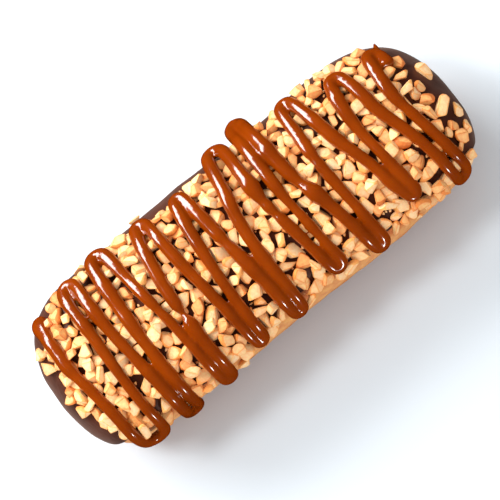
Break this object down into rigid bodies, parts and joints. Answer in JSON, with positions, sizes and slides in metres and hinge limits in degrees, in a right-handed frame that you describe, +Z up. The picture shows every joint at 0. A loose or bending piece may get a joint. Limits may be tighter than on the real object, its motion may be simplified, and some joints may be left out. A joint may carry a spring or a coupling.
{
  "type": "chocolate caramel peanut doughnut",
  "caption": "Long bar doughnut of fried dough with a chocolate coat on top, chopped peanut pieces pressed in, and caramel drizzled to and fro across it.",
  "frame": {"origin": "centre of the bounding box on the surface that the doughnut rests on", "axes": "+X along the bar, +Y across it towards the side where the chocolate reaches lower, +Z up"},
  "size_m": [0.1496, 0.0626, 0.0404],
  "materials": {
    "dough": "soft matt fried dough, golden brown with a paler ring at the waist",
    "icing": "satin milk chocolate coat",
    "peanut": "roasted chopped peanut, cream cut faces and golden rounded ones",
    "caramel": "glossy brown caramel"
  },
  "bodies": {
    "root": {"dough": "dough", "icing": "icing"}
  },
  "joints": []
}
